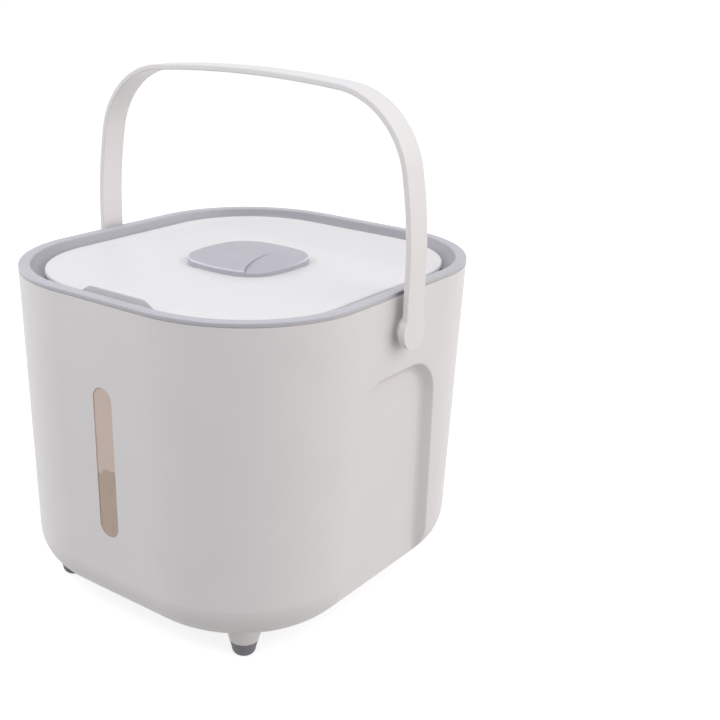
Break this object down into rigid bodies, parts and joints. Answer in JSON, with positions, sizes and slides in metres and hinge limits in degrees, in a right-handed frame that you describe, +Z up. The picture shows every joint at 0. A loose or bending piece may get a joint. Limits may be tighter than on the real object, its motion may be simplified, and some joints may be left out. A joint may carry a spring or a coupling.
{
  "type": "pet food bin",
  "caption": "Tapered rounded-square bucket for dry pet food with sight window, rim collar, sealed lift-off lid, square pull knob, swing strap handle and stub feet.",
  "frame": {"origin": "on the floor under the middle of the bin, at the bottom centre of its bounding box", "axes": "+Z up, -Y is the front with the sight window and the lid's lift tab, X runs through the two handle pivots"},
  "size_m": [0.2768, 0.287, 0.3643],
  "materials": {
    "white_body": "fine satin moulded surface",
    "white_lid": "smooth semi-gloss",
    "white_handle": "fine satin moulded surface",
    "lavender_trim": "smooth satin",
    "amber_window": "smooth tinted clear plastic",
    "seal_rubber": "soft smooth",
    "grey_foot": "soft matt",
    "steel_screw": "plain zinc-plated"
  },
  "bodies": {
    "body": {"bin_body": "white_body", "window_pane": "amber_window", "window_seal": "seal_rubber", "rim_collar": "lavender_trim", "collar_seal": "seal_rubber", "foot_tip_front_left": "grey_foot", "foot_tip_front_right": "grey_foot", "foot_tip_back_left": "grey_foot", "foot_tip_back_right": "grey_foot"},
    "handle": {"carry_handle": "white_handle"},
    "lid": {"lid_top": "white_lid", "lid_plug": "white_lid", "lid_seal": "seal_rubber", "lid_knob": "lavender_trim", "knob_screw": "steel_screw"}
  },
  "joints": [
    {"name": "handle_swing", "type": "hinge", "parent": "body", "child": "handle", "pos_m": [0, 0, 0.211], "axis": [1, 0, 0], "range_deg": [-103, 103]},
    {"name": "lid_lift", "type": "slide", "parent": "body", "child": "lid", "axis": [0, 0, 1], "range_m": [0, 0.1]}
  ]
}
